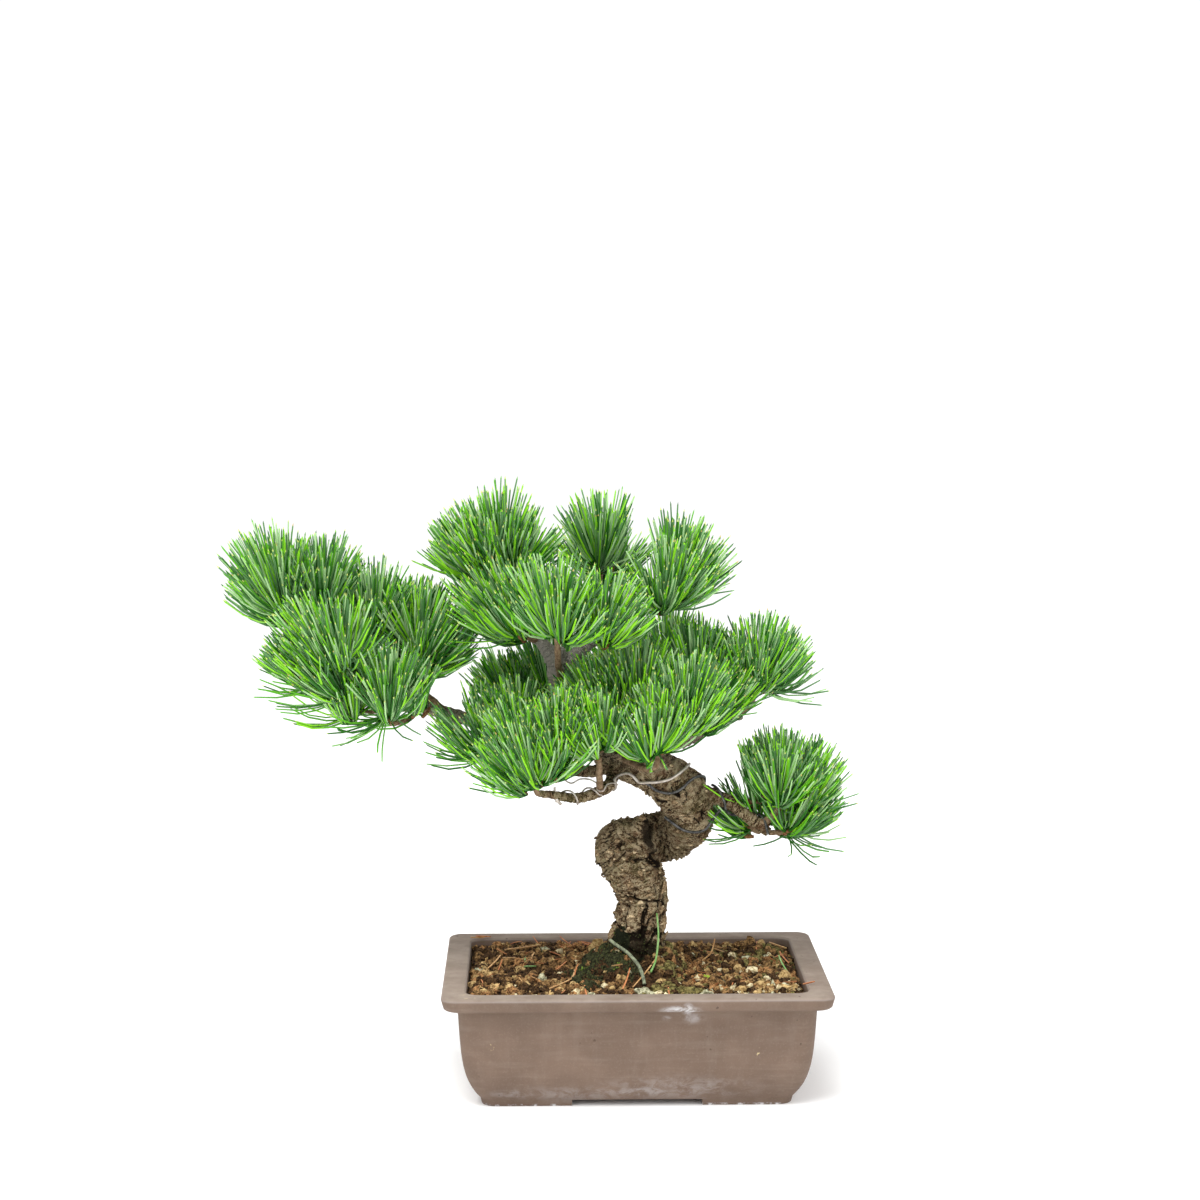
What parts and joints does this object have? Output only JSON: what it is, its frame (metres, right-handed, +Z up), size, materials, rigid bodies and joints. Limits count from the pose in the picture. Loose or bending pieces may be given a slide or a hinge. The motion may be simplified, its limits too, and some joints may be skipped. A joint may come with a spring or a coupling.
{
  "type": "japanese white pine bonsai",
  "caption": "Bonsai pine with a twisting tapered trunk, side boughs and tufts of upright needles, planted in a rectangular clay tray pot on low feet.",
  "frame": {"origin": "middle of the whole plant's footprint, at the level that the pot stands on", "axes": "+X to the viewer's right along the pot's long side, +Y away from the viewer, +Z up"},
  "size_m": [0.3605, 0.1728, 0.3421],
  "materials": {
    "clay": "matte",
    "soil": "matte",
    "bark": "matte",
    "young_bark": "matte",
    "needles": "satin"
  },
  "bodies": {
    "root": {"pot": "clay", "soil": "soil", "trunk": "bark", "bough_left": "bark", "bough_mid_left": "bark", "bough_low_left": "bark", "bough_low_right": "bark", "bough_right": "bark", "bough_top_left": "bark", "bough_top_right": "bark", "bough_back": "bark", "bough_top_front": "young_bark", "bough_left_hand": "young_bark", "bough_right_front": "young_bark", "bough_front": "young_bark", "bough_left_front": "young_bark", "bough_left_low": "young_bark", "bough_top_side": "young_bark", "bough_left_end": "young_bark", "bough_left_mid": "young_bark", "bough_left_inner": "young_bark", "bough_centre": "young_bark", "bough_right_mid": "young_bark", "bough_right_end": "young_bark", "bough_right_low": "young_bark", "bough_right_low_inner": "young_bark", "bough_top_back": "young_bark", "bough_back_right": "young_bark", "needles_top_front": "needles", "needles_left_hand": "needles", "needles_low_left": "needles", "needles_right_front": "needles", "needles_front": "needles", "needles_left_front": "needles", "needles_left_low": "needles", "needles_top_left": "needles", "needles_top_right": "needles", "needles_top_side": "needles", "needles_left_end": "needles", "needles_left_mid": "needles", "needles_left_inner": "needles", "needles_side_left": "needles", "needles_centre": "needles", "needles_right_mid": "needles", "needles_right_end": "needles", "needles_right_low": "needles", "needles_right_low_end": "needles", "needles_right_low_inner": "needles", "needles_top_back": "needles", "needles_back_left": "needles", "needles_back_right": "needles"}
  },
  "joints": []
}
